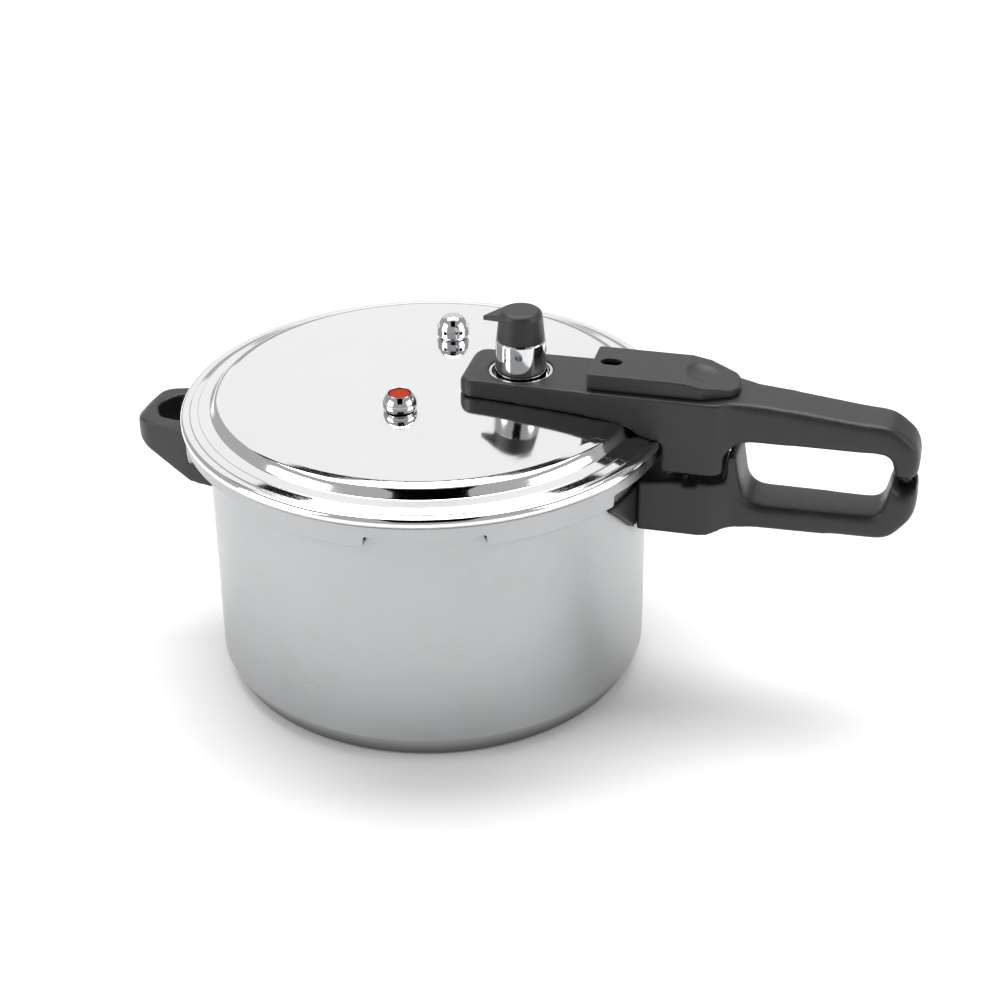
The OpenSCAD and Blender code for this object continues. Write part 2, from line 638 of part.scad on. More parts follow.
// A coil spring round the Z axis, swept with a six-sided wire
module coil(r, wire, height, turns) {
    steps = 14 * turns;
    points = [for (i = [0:steps]) each [for (j = [0:5])
        let (a = i * 360 / 14, w = wire / 2, o = r + w * cos(j * 60), z = w + (height - wire) * i / steps)
            [o * cos(a), o * sin(a), z + w * sin(j * 60)]]];
    faces = concat([[for (j = [0:5]) j]], [[for (j = [5:-1:0]) steps * 6 + j]],
        [for (i = [0:steps - 1], j = [0:5]) let (k = (j + 1) % 6)
            [i * 6 + j, (i + 1) * 6 + j, (i + 1) * 6 + k, i * 6 + k]]);
    polyhedron(points, faces);
}

module relief_spring() color(steel) translate([0, relief_y, relief_seat + 4.1]) coil(2.6, 0.8, 4.8, 4);

// ---------------------------------------------------------------- pressure indicator

ind_seat = seat_z(norm([indicator_x, indicator_y]), indicator_d / 2);
ind_under = under_z(norm([indicator_x, indicator_y]), indicator_d / 2);
ind_r = indicator_d / 2;
button_r = button_d / 2 - 0.2;

module indicator_guard() color(chrome) translate([indicator_x, -indicator_y, 0]) difference() {
    union() {
        translate([0, 0, ind_seat]) turned(concat([[0, 0], [ind_r - 0.5, 0]],
            [for (i = [0:8]) polar([0, 2.2], ind_r, -12 + i * 7.4)], [[0, 8.4]]));
        translate([0, 0, ind_under - 5]) cylinder(d = indicator_tube_d, h = ind_seat - ind_under + 6);
    }
    translate([0, 0, ind_seat + 2.6]) cylinder(r = button_r + slip, h = 12);
    translate([0, 0, ind_under - 6]) cylinder(d = 4.4, h = 20);
}

module indicator_button() color(red_rubber) translate([indicator_x, -indicator_y, 0]) {
    turned([[0, ind_seat + 3], [button_r - 0.6, ind_seat + 3], [button_r, ind_seat + 3.6],
        [button_r, ind_seat + 7.4], [button_r - 0.8, ind_seat + 8.1], [button_r - 1.6, ind_seat + 7.8],
        [0, ind_seat + 7.5]]);
    translate([0, 0, ind_under - 5.5 - button_rise])
        cylinder(d = 3.6, h = ind_seat + 4 - ind_under + 5.5 + button_rise);
    translate([0, 0, ind_under - 6.5 - button_rise]) cylinder(d = 7.4, h = 1.4);
}

module indicator_seal() color(grey_rubber) translate([indicator_x, -indicator_y, 0])
    ring(8, indicator_tube_d / 2 + fit, ind_under - 1.2, ind_under);

module indicator_nut() color(steel) translate([indicator_x, -indicator_y, ind_under - 4.6]) difference() {
    hex(12, 3.2);
    translate([0, 0, -cut]) cylinder(d = indicator_tube_d + 2 * fit, h = 6);
}

// ---------------------------------------------------------------- float pin

float_seat = seat_z(float_x, 5.5);
float_under = under_z(float_x, 5.5);

module float_bush() color(brass) translate([float_x, 0, 0]) {
    ring(5.5, float_pin_d / 2 + 0.15, float_seat, float_seat + 1.6);
    ring(float_tube_d / 2, float_pin_d / 2 + 0.15, float_under - 5, float_seat + 1);
}

module float_nut() color(steel) translate([float_x, 0, float_under - 3.4]) difference() {
    hex(9, 3.2);
    translate([0, 0, -cut]) cylinder(d = float_tube_d + 2 * fit, h = 6);
}

module float_pin() color(red_rubber) translate([float_x, 0, 0]) {
    translate([0, 0, float_under - 6 - float_rise])
        cylinder(d = float_pin_d, h = arm_z - 5.6 - float_under + 6 + float_rise);
    translate([0, 0, float_under - 7.4 - float_rise]) cylinder(d = 6, h = 1.6);
}

// ---------------------------------------------------------------- lid lock

slider_half = slider_w / 2;
slider_shoulder = slider_x1 - 25.5;
plate_z = slider_z0 + 0.05;
plate_t = 2.2;
plate_x0 = bolt_x - 14;

module lock_slider() color(bakelite) difference() {
    intersection() {
        across(outline([[slider_x0, slider_z0, 0], [slider_x0, slider_top, 0.8],
            [slider_shoulder, slider_top, 6], [slider_x1, slider_z0 + 3.4, 1.5],
            [slider_x1, slider_z0, 0]]), slider_w + 4);
        translate([0, 0, slider_z0 - 1]) linear_extrude(20) polygon(outline(both_sides(
            [[slider_x0, slider_half, 1.5], [slider_x1 - 16.8, slider_half, 2], [slider_x1 - 3, 10, 5],
                [slider_x1, 4, 3]])));
    }
    box(slider_x0 + 2.5, plate_x0 - 3, slider_half - 3, slider_z0 - cut, slider_top - 2.4);
    // window over the float pin
    for (x = [-1.7, 1.7]) translate([float_x + 3 + x, 0, slider_top - 5]) cylinder(d = 7, h = 6);
    box(float_x + 1.3, float_x + 4.7, 3.5, slider_z0, slider_top + cut);
    // hollow for the thumb
    translate([slider_x1 - 14.5, 0, slider_top + 20.4]) sphere(r = 24);
    box(plate_x0 - fit, bolt_x + 4 + fit, 6 + fit, slider_z0 - cut, plate_z + plate_t + fit);
    for (x = [3, 8]) translate([plate_x0 + x, 0, slider_z0]) cylinder(d = 2.5, h = 5.6);
}

module lock_bolt() color(steel) difference() {
    union() {
        box(plate_x0, bolt_x + 4, 6, plate_z, plate_z + plate_t);
        box(bolt_x - bolt_t / 2, bolt_x + bolt_t / 2, bolt_w / 2, bolt_z, plate_z + 1);
    }
    for (x = [3, 8]) translate([plate_x0 + x, 0, plate_z - cut]) cylinder(d = 2.7, h = 6);
    for (x = [3, 8]) translate([plate_x0 + x, 0, plate_z - 0.1]) cylinder(d1 = 4.8, d2 = 2.7, h = 1.2);
}

module slider_screws() color(steel) for (x = [3, 8]) translate([plate_x0 + x, 0, plate_z]) {
    cylinder(d1 = 4.4, d2 = 2.4, h = 1);
    cylinder(d = 2.4, h = 5.2);
}

pot_body();
pot_bracket();
bracket_rivets();
lower_handle();
lower_handle_screw();
flame_guard();
strike_plate();
strike_screws();
helper_bracket();
helper_rivets();
helper_handle();
helper_screw();
gasket_ring();
lid_shell();
upper_handle();
handle_cover();
cover_screws();
handle_screws();
handle_inserts();
trim_ring();
end_peg();
vent_pipe();
vent_nut();
vent_seal();
vent_shield();
regulator_clip();
regulator_weight();
regulator_cap();
regulator_needle();
relief_body();
relief_nut();
relief_seal();
relief_dome();
relief_plunger();
relief_spring();
indicator_guard();
indicator_nut();
indicator_seal();
indicator_button();
float_bush();
float_nut();
float_pin();
lock_slider();
lock_bolt();
slider_screws();
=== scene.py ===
"""Studio scene of a stovetop pressure cooker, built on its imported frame."""

import json
import logging
import math
from dataclasses import dataclass, field

import bmesh
import bpy
from mathutils import Matrix, Vector


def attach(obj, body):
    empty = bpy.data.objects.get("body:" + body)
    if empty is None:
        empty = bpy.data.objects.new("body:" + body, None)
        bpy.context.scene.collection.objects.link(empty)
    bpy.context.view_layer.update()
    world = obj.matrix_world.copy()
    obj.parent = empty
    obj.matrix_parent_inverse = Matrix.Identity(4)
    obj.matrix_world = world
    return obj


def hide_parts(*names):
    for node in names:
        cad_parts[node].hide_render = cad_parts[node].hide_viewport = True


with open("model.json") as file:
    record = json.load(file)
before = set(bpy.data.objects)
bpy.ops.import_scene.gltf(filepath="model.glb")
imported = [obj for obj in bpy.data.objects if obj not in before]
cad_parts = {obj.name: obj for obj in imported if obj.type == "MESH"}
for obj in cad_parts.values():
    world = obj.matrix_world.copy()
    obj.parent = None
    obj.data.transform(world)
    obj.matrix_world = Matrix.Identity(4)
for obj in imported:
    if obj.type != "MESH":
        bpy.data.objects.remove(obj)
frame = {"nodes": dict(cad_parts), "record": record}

LOG = logging.getLogger("pressure_cooker")
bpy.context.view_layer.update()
MM = 0.001
SPIN_STEP_DEG = 1.5


# ---------------------------------------------------------------- materials


def srgb(code: str) -> tuple[float, float, float, float]:
    """Turns an sRGB hex code into a linear colour.

    Args:
        code: Six hex digits, such as "c8c8c8".

    Returns:
        Linear red, green, blue and an alpha of 1.
    """
    channels = [int(code[i:i + 2], 16) / 255 for i in (0, 2, 4)]
    linear = [c / 12.92 if c <= 0.04045 else ((c + 0.055) / 1.055) ** 2.4 for c in channels]
    return (*linear, 1.0)


def add_node(tree: bpy.types.NodeTree, kind: str, inputs: dict | None = None,
             **settings) -> bpy.types.Node:
    """Adds one shader node.

    Args:
        tree: The node tree that gets the node.
        kind: The node's type, such as "ShaderNodeBump".
        inputs: Socket name or number to a constant or to the output that feeds it.
        settings: Properties of the node itself.

    Returns:
        The new node.
    """
    node = tree.nodes.new(kind)
    for name, value in settings.items():
        setattr(node, name, value)
    for name, value in (inputs or {}).items():
        if isinstance(value, bpy.types.NodeSocket):
            tree.links.new(value, node.inputs[name])
        else:
            node.inputs[name].default_value = value
    return node


@dataclass(frozen=True)
class Finish:
    """A surface finish with fine grain, slow variation and painted shade in tight corners.

    Attributes:
        name: Name of the material.
        light: Base colour where the surface is cleanest, as sRGB hex.
        dark: Base colour where it is dullest, as sRGB hex.
        metallic: 1 for bare metal, 0 for plastic and rubber.
        roughness: Lowest and highest roughness.
        grain_mm: Size of one grain along X, Y and Z.
        grain_depth_mm: Height of the grain.
        patch_mm: Size of the slow patches of colour and roughness.
        specular: Strength of the reflection of plastic and rubber.
        occluded: How bright the colour stays in tight corners and under overhangs, where shade is painted
            into the colour.
        anisotropic: How far highlights stretch across the grain.
    """

    name: str
    light: str
    dark: str
    metallic: float
    roughness: tuple[float, float]
    grain_mm: tuple[float, float, float]
    grain_depth_mm: float
    patch_mm: float = 25.0
    specular: float = 0.5
    occluded: float = 1.0
    anisotropic: float = 0.0

    def build(self) -> bpy.types.Material:
        """Makes the Blender material.

        Returns:
            A node material that reads Object coordinates.
        """
        material = bpy.data.materials.new(self.name)
        material.use_nodes = True
        tree = material.node_tree
        tree.nodes.clear()
        place = add_node(tree, "ShaderNodeTexCoord").outputs["Object"]
        stretched = add_node(tree, "ShaderNodeMapping", {
            "Vector": place, "Scale": tuple(1 / (size * MM) for size in self.grain_mm)})
        grain = add_node(tree, "ShaderNodeTexNoise", {
            "Vector": stretched.outputs["Vector"], "Scale": 1.0, "Detail": 2.0, "Roughness": 0.6})
        patch = add_node(tree, "ShaderNodeTexNoise", {
            "Vector": place, "Scale": 1 / (self.patch_mm * MM), "Detail": 4.0, "Roughness": 0.65})
        colour = add_node(tree, "ShaderNodeMix", {
            "Factor": patch.outputs["Fac"], 6: srgb(self.dark), 7: srgb(self.light)}, data_type="RGBA")
        # Painted shade: ambient occlusion darkens the base colour in tight corners and under overhangs,
        # standing in for shadow.
        corner = add_node(tree, "ShaderNodeAmbientOcclusion", {"Distance": 12 * MM}, samples=8)
        painted_corner_shade = add_node(tree, "ShaderNodeMapRange", {
            "Value": corner.outputs["AO"], "From Min": 0.35, "From Max": 0.9,
            "To Min": self.occluded, "To Max": 1.0})
        painted_shade_colour = add_node(tree, "ShaderNodeMix", {
            "Factor": 1.0, 6: colour.outputs[2], 7: painted_corner_shade.outputs["Result"]}, data_type="RGBA",
            blend_type="MULTIPLY")
        worn = add_node(tree, "ShaderNodeMath", {
            0: grain.outputs["Fac"], 1: patch.outputs["Fac"]}, operation="ADD")
        low, high = self.roughness
        roughness = add_node(tree, "ShaderNodeMapRange", {
            "Value": worn.outputs["Value"], "From Min": 0.7, "From Max": 1.3,
            "To Min": low, "To Max": high})
        bump = add_node(tree, "ShaderNodeBump", {
            "Strength": 1.0, "Distance": self.grain_depth_mm * MM, "Height": grain.outputs["Fac"]})
        shader = add_node(tree, "ShaderNodeBsdfPrincipled", {
            "Base Color": painted_shade_colour.outputs[2], "Metallic": self.metallic,
            "Roughness": roughness.outputs["Result"], "Normal": bump.outputs["Normal"],
            "Specular IOR Level": self.specular, "Anisotropic": self.anisotropic})
        add_node(tree, "ShaderNodeOutputMaterial", {"Surface": shader.outputs["BSDF"]})
        return material


FINISHES = {
    # Satin aluminium, brushed round the wall in fine level lines, with painted shade in corners and under
    # the lid's skirt
    "pot_metal": Finish("satin_brushed_aluminium", "b4b5b6", "a6a7a8", 1.0, (0.27, 0.40),
                        (16.0, 16.0, 0.35), 0.0050, 30.0, occluded=0.35, anisotropic=0.3),
    # Mirror polished aluminium with a trace of polishing haze
    "lid_metal": Finish("mirror_polished_aluminium", "f2f2f3", "eaeaeb", 1.0, (0.05, 0.09),
                        (3.0, 3.0, 0.6), 0.00002, 70.0),
    # Bright chrome plate
    "chrome": Finish("bright_chrome_plate", "dcdddf", "d2d3d5", 1.0, (0.04, 0.09),
                     (0.8, 0.8, 0.8), 0.00005, 6.0),
    # Plain stainless steel with fine turning lines
    "steel": Finish("turned_stainless_steel", "b4b5b7", "a4a5a7", 1.0, (0.22, 0.34),
                    (2.0, 2.0, 0.12), 0.0015, 6.0),
    # Turned brass, a little dull
    "brass": Finish("turned_brass", "c8a866", "b08e4c", 1.0, (0.22, 0.36),
                    (2.0, 2.0, 0.12), 0.0015, 6.0),
    # Black phenolic with the fine grain of its mould
    "phenolic": Finish("black_phenolic_fine_grain", "272728", "1d1d1e", 0.0, (0.36, 0.50),
                       (0.90, 0.90, 0.90), 0.060, 5.0, specular=0.5),
    # Red silicone
    "red_silicone": Finish("red_silicone", "b03018", "8f2410", 0.0, (0.55, 0.7),
                           (0.5, 0.5, 0.5), 0.008, 4.0, specular=0.15),
    # Pale grey silicone
    "grey_silicone": Finish("pale_grey_silicone", "c9c9c5", "b8b8b4", 0.0, (0.42, 0.55),
                            (0.6, 0.6, 0.6), 0.010, 10.0),
}


# ---------------------------------------------------------------- shaping


def rounded(corners: list[tuple[float, float, float]], segments: int = 5) -> list[tuple[float, float]]:
    """Rounds the corners of an open outline.

    Args:
        corners: Radius, height and fillet of each corner, in mm.
        segments: Straight pieces in each fillet.

    Returns:
        Radius and height of each point, in mm.
    """
    points = [corners[0][:2]]
    for before, here, after in zip(corners, corners[1:], corners[2:]):
        at, fillet = Vector(here[:2]), here[2]
        back, on = Vector(before[:2]) - at, Vector(after[:2]) - at
        if fillet == 0:
            points.append(tuple(at))
            continue
        reach = min(fillet / math.tan(back.angle(on) / 2), back.length * 0.49, on.length * 0.49)
        start, end = at + back.normalized() * reach, at + on.normalized() * reach
        for i in range(segments + 1):
            t = i / segments
            points.append(tuple(start * (1 - t) ** 2 + at * (2 * t * (1 - t)) + end * t ** 2))
    points.append(corners[-1][:2])
    return points


def spun(profile: list[tuple[float, float]], steps: int,
         centre: tuple[float, float] = (0.0, 0.0)) -> bmesh.types.BMesh:
    """Spins a profile round an upright axis.

    Args:
        profile: Radius and height of each point, in mm, with both ends on the axis or
            joined to each other.
        steps: Steps in the full turn.
        centre: X and Y of the axis, in mm.

    Returns:
        The closed shape, in metres.
    """
    shape = bmesh.new()
    ring = [shape.verts.new((r * MM, 0.0, z * MM)) for r, z in profile]
    edges = [shape.edges.new(pair) for pair in zip(ring, ring[1:])]
    if profile[0][0] > 0:
        edges.append(shape.edges.new((ring[-1], ring[0])))
    bmesh.ops.spin(shape, geom=ring + edges, cent=(0, 0, 0), axis=(0, 0, 1), angle=math.tau, steps=steps,
                   use_merge=True)
    bmesh.ops.remove_doubles(shape, verts=shape.verts, dist=0.004 * MM)
    bmesh.ops.recalc_face_normals(shape, faces=shape.faces)
    bmesh.ops.translate(shape, vec=Vector((centre[0] * MM, centre[1] * MM, 0)), verts=shape.verts)
    return shape


def finished_object(name: str, shape: bmesh.types.BMesh, sharp_deg: float) -> bpy.types.Object:
    """Makes an object of a shape, smooth but for its sharp edges.

    Args:
        name: Name of the object.
        shape: The shape, which is freed.
        sharp_deg: Edges that turn by more than this stay sharp.

    Returns:
        The new object.
    """
    if shape.calc_volume(signed=True) < 0:
        bmesh.ops.reverse_faces(shape, faces=shape.faces)
    mesh = bpy.data.meshes.new(name)
    shape.to_mesh(mesh)
    shape.free()
    mesh.shade_smooth()
    mesh.set_sharp_from_angle(angle=math.radians(sharp_deg))
    piece = bpy.data.objects.new(name, mesh)
    bpy.context.scene.collection.objects.link(piece)
    return piece


def bake_modifiers(piece: bpy.types.Object) -> None:
    """Applies every modifier of a piece.

    Args:
        piece: The object to bake.
    """
    view = bpy.context.evaluated_depsgraph_get()
    mesh = bpy.data.meshes.new_from_object(piece.evaluated_get(view))
    piece.modifiers.clear()
    piece.data = mesh


def drilled(piece: bpy.types.Object, holes: list[bmesh.types.BMesh]) -> None:
    """Cuts holes in a piece.

    Args:
        piece: The object to cut.
        holes: The cutters, which are freed.
    """
    for number, hole in enumerate(holes):
        cutter = finished_object(f"{piece.name}_cutter_{number}", hole, 40)
        cut = piece.modifiers.new("hole", "BOOLEAN")
        cut.operation, cut.solver, cut.object = "DIFFERENCE", "EXACT", cutter
        bake_modifiers(piece)
        bpy.data.objects.remove(cutter)
    piece.data.shade_smooth()
    piece.data.set_sharp_from_angle(angle=math.radians(35))


def rod(radius: float, length: float, start: tuple[float, float, float],
        direction: Vector) -> bmesh.types.BMesh:
    """Makes a round rod.

    Args:
        radius: Radius in mm.
        length: Length in mm.
        start: Middle of its first end, in mm.
        direction: The way it points.

    Returns:
        The rod, in metres.
    """
    shape = bmesh.new()
    bmesh.ops.create_cone(shape, cap_ends=True, segments=32, radius1=radius * MM, radius2=radius * MM,
                          depth=length * MM)
    bmesh.ops.translate(shape, vec=(0, 0, length * MM / 2), verts=shape.verts)
    turn = direction.to_track_quat("Z", "Y").to_matrix().to_4x4()
    bmesh.ops.transform(shape, matrix=Matrix.Translation(Vector(start) * MM) @ turn, verts=shape.verts)
    return shape


def node_shape(*nodes: str) -> bmesh.types.BMesh:
    """Copies the mesh of one or more CAD nodes with their points joined.

    Args:
        nodes: Names of the nodes.

    Returns:
        The copy, in metres.
    """
    shape = bmesh.new()
    for node in nodes:
        shape.from_mesh(frame["nodes"][node].data)
    bmesh.ops.remove_doubles(shape, verts=shape.verts, dist=0.002 * MM)
    bmesh.ops.recalc_face_normals(shape, faces=shape.faces)
    return shape


def fit_piece(piece: bpy.types.Object, body: str, nodes: tuple[str, ...], slot: str,
              materials: dict) -> None:
    """Puts a piece in the place of a CAD node.

    Args:
        piece: The new object.
        body: The body that it moves with.
        nodes: The nodes that it stands for.
        slot: The material slot whose finish it takes.
        materials: The material of each slot.
    """
    piece.data.materials.clear()
    piece.data.materials.append(materials[slot])
    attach(piece, body)
    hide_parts(*nodes)


# ---------------------------------------------------------------- pieces


@dataclass
class Lugs:
    """Locking lugs round a turned shell.

    Attributes:
        count: Number of lugs.
        first_deg: Direction of the first lug's middle.
        width_deg: Width of a lug.
    """

    count: int = 6
    first_deg: float = 15.0
    width_deg: float = 24.0

    def holds(self, direction_deg: float) -> bool:
        """Says whether a direction lies in a lug.

        Args:
            direction_deg: Direction round the shell.

        Returns:
            True inside a lug.
        """
        pitch = 360 / self.count
        off = (direction_deg - self.first_deg + pitch / 2) % pitch - pitch / 2
        return abs(off) < self.width_deg / 2

    def pull_out(self, shape: bmesh.types.BMesh, picks, move: Vector, outward: float = 0.0) -> list:
        """Pulls the picked faces of every lug out of a shell.

        Args:
            shape: The shell.
            picks: Says whether a face belongs to the band that the lugs grow from.
            move: How far the faces move, in metres.
            outward: How far they move away from the axis, in metres.

        Returns:
            The moved faces.
        """
        chosen = []
        for face in shape.faces:
            middle = face.calc_center_median()
            if picks(face, middle) and self.holds(math.degrees(math.atan2(middle.y, middle.x))):
                chosen.append(face)
        moved = bmesh.ops.extrude_face_region(shape, geom=chosen)["geom"]
        bmesh.ops.delete(shape, geom=chosen, context="FACES")
        for vert in (v for v in moved if isinstance(v, bmesh.types.BMVert)):
            away = Vector((vert.co.x, vert.co.y, 0)).normalized()
            vert.co += move + away * outward
        return [f for f in moved if isinstance(f, bmesh.types.BMFace)]


@dataclass
class Pot:
    """The pot with its sloped foot, rolled rim and lugs.

    Attributes:
        radius: Outside radius of the wall, in mm.
        height: Height of the rim, in mm.
        wall: Thickness of the wall, in mm.
        lug_z: Lowest and highest level of the lugs, in mm.
        lug_out: How far the lugs stand out, in mm.
    """

    radius: float = 110.0
    height: float = 136.4
    wall: float = 2.5
    lug_z: tuple[float, float] = (128.7, 131.1)
    lug_out: float = 7.5

    def build(self, materials: dict) -> None:
        """Makes the pot and puts it in its place.

        Args:
            materials: The material of each slot.
        """
        r, h, inner = self.radius, self.height, self.radius - self.wall
        low, high = self.lug_z
        profile = rounded([
            (0, 0, 0), (r - 6, 0, 2.5), (r, 11.7, 1.6), (r, low, 0), (r, high, 0), (r, h - 4.2, 0.6),
            (r + 3.5, h - 2.8, 1.0), (r + 3.5, h - 0.1, 1.2), (inner + 0.3, h, 0.6), (inner, h - 1.2, 0.4),
            (inner, 10, 6), (inner - 6, 4, 6), (0, 4, 0)])
        shape = spun(profile, int(360 / SPIN_STEP_DEG))
        lugs = Lugs(width_deg=24)
        lugs.pull_out(shape, lambda face, m: low * MM < m.z < high * MM and abs(face.normal.z) < 0.1
                      and m.to_2d().length > (r - 1) * MM, Vector((0, 0, 0)), self.lug_out * MM)
        bmesh.ops.recalc_face_normals(shape, faces=shape.faces)
        piece = finished_object("pot_pressing", shape, 40)
        fit_piece(piece, "pot", ("pot_body",), "pot_metal", materials)


@dataclass
class Lid:
    """The lid: a shallow dome, a round shoulder, a rolled rim and a lugged skirt.

    Attributes:
        dome_radius: Radius of the edge of the dome, in mm.
        dome_top: Height of the middle of the dome, in mm.
        dome_drop: How far the dome falls to its edge, in mm.
        metal: Thickness of the metal, in mm.
        skirt_radius: Outside radius of the skirt, in mm.
        skirt_in: Inside radius of the skirt, in mm.
        skirt_z: Level of the skirt's edge between the lugs, in mm.
        neck_radius: Outside radius of the neck that holds the sealing ring in, in mm.
        gap_flare: How far the gap between two lugs opens at its mouth, in mm.
        gap_reach: Inner and outer radius of the cutter for that gap, in mm.
        lug_z: Lowest and highest level of the lugs, in mm.
        lug_in: Radius that the lugs reach in to, in mm.
    """

    dome_radius: float = 97.4
    dome_top: float = 155.0
    dome_drop: float = 5.1
    metal: float = 2.2
    skirt_radius: float = 121.1
    skirt_in: float = 119.3
    skirt_z: float = 131.3
    neck_radius: float = 110.4
    gap_flare: float = 3.5
    gap_reach: tuple[float, float] = (100.0, 130.0)
    lug_z: tuple[float, float] = (125.4, 127.8)
    lug_in: float = 111.4

    def dome(self, radius: float) -> float:
        """Gives the height of the dome.

        Args:
            radius: Distance from the middle, in mm.

        Returns:
            Height in mm.
        """
        return self.dome_top - self.dome_drop * (radius / self.dome_radius) ** 2

    def build(self, materials: dict) -> None:
        """Makes the lid and puts it in its place.

        Args:
            materials: The material of each slot.
        """
        edge = self.dome_radius
        top = [(r, self.dome(r)) for r in [edge * i / 36 for i in range(35)]]
        shoulder = rounded([
            (*top[-1], 0), (99.8, 149.85, 10), (104.8, 148.5, 5.5), (107.9, 144.3, 1.6),
            (113.6, 143.4, 0.3), (113.9, 143.2, 0.1), (114.3, 143.2, 0.3), (117.6, 142.2, 0.5),
            (118.2, 141.75, 0.5), (119.2, 142.0, 0.8)], 10)
        bead = [(120.1 + 2.7 * math.cos(math.radians(a)), 139.4 + 2.7 * math.sin(math.radians(a)))
                for a in range(98, -56, -14)]
        low, high = self.lug_z
        skirt = rounded([
            (*bead[-1], 0), (self.skirt_radius, 136.5, 0.6), (self.skirt_radius, low, 0.5),
            (self.lug_in, low, 0.3), (self.lug_in, high, 0.3), (self.skirt_in, high, 0.3),
            (self.skirt_in, 139.9, 0.8), (self.neck_radius - self.metal, 139.9, 0.6),
            (106.4, 142.6, 1.0), (103.6, 146.4, 3), (100.0, 147.6, 3)])
        under = [(r * (1 - self.metal / self.neck_radius * 0.5), self.dome(r) - self.metal)
                 for r in [edge * i / 12 for i in range(12, -1, -1)]]
        shape = spun(top[:-1] + shoulder + bead[1:-1] + skirt + under, int(360 / SPIN_STEP_DEG))
        piece = finished_object("lid_pressing", shape, 50)
        lugs = Lugs(width_deg=33)
        pitch = 360 / lugs.count
        drilled(piece, [self.gap(lugs.first_deg + pitch * (i + 0.5), pitch - lugs.width_deg)
                        for i in range(lugs.count)])
        fit_piece(piece, "lid", ("lid_shell",), "lid_metal", materials)
        piece.data.materials.append(materials["pot_metal"])
        for face in piece.data.polygons:
            radius = face.center.to_2d().length
            if face.center.z < 137.2 * MM or (face.center.z < 140.0 * MM and radius < self.skirt_in * MM):
                face.material_index = 1

    def gap(self, middle_deg: float, width_deg: float) -> bmesh.types.BMesh:
        """Makes the cutter for the gap between two lugs, with round corners.

        Args:
            middle_deg: Direction of the middle of the gap.
            width_deg: Width of the gap.

        Returns:
            The cutter, in metres.
        """
        half = math.radians(width_deg / 2) * self.skirt_radius
        low, top = self.lug_z[0], self.skirt_z
        mouth = half + self.gap_flare
        outline = rounded([
            (mouth, low - 0.5, 0), (half, low, 2.2), (half, top, 1.6), (-half, top, 1.6),
            (-half, low, 2.2), (-mouth, low - 0.5, 0)], 6) + [(-mouth, low - 3), (mouth, low - 3)]
        shape = bmesh.new()
        rings = []
        for radius in self.gap_reach:
            turns = [(math.radians(middle_deg) + along / self.skirt_radius, z) for along, z in outline]
            rings.append(shape.faces.new([
                shape.verts.new((radius * MM * math.cos(t), radius * MM * math.sin(t), z * MM))
                for t, z in turns]))
        edges = [edge for face in rings for edge in face.edges]
        bmesh.ops.bridge_loops(shape, edges=edges)
        bmesh.ops.triangulate(shape, faces=rings)
        bmesh.ops.recalc_face_normals(shape, faces=shape.faces)
        return shape


@dataclass
class Moulding:
    """A moulded plastic piece with soft edges.

    Attributes:
        nodes: The CAD nodes that it stands for.
        body: The body that it moves with.
        voxel_mm: Size of the cells that shape it.
        passes: How often its edges are softened.
        grip_from_mm: Distance from the axis past which it is softened more, or 0.
        grip_passes: How often the grip is softened.
    """

    nodes: tuple[str, ...]
    body: str
    voxel_mm: float = 0.8
    passes: int = 8
    grip_from_mm: float = 0.0
    grip_passes: int = 0

    def build(self, materials: dict) -> None:
        """Makes the moulding and puts it in its place.

        Args:
            materials: The material of each slot.
        """
        piece = finished_object(f"{self.nodes[0]}_moulding", node_shape(*self.nodes), 180)
        cells = piece.modifiers.new("cells", "REMESH")
        cells.mode, cells.voxel_size, cells.use_smooth_shade = "VOXEL", self.voxel_mm * MM, True
        soften = piece.modifiers.new("soften", "SMOOTH")
        soften.factor, soften.iterations = 0.5, self.passes
        bake_modifiers(piece)
        if self.grip_passes:
            group = piece.vertex_groups.new(name="grip")
            for vert in piece.data.vertices:
                weight = min(1.0, max(0.0, (abs(vert.co.x) / MM - self.grip_from_mm) / 14))
                if weight:
                    group.add([vert.index], weight, "REPLACE")
            grip = piece.modifiers.new("grip", "SMOOTH")
            grip.factor, grip.iterations, grip.vertex_group = 0.5, self.grip_passes, "grip"
            bake_modifiers(piece)
        piece.data.shade_smooth()
        fit_piece(piece, self.body, self.nodes, "phenolic", materials)


@dataclass
class Turning:
    """A turned or pressed metal piece that keeps its CAD shape with smooth sides.

    Attributes:
        node: The CAD node that it stands for.
        body: The body that it moves with.
        slot: The material slot whose finish it takes.
    """

    node: str
    body: str
    slot: str

    def build(self, materials: dict) -> None:
        """Makes the piece and puts it in its place.

        Args:
            materials: The material of each slot.
        """
        shape = node_shape(self.node)
        bmesh.ops.dissolve_limit(shape, angle_limit=math.radians(0.5), verts=shape.verts,
                                 edges=shape.edges)
        piece = finished_object(f"{self.node}_smooth", shape, 32)
        fit_piece(piece, self.body, (self.node,), self.slot, materials)


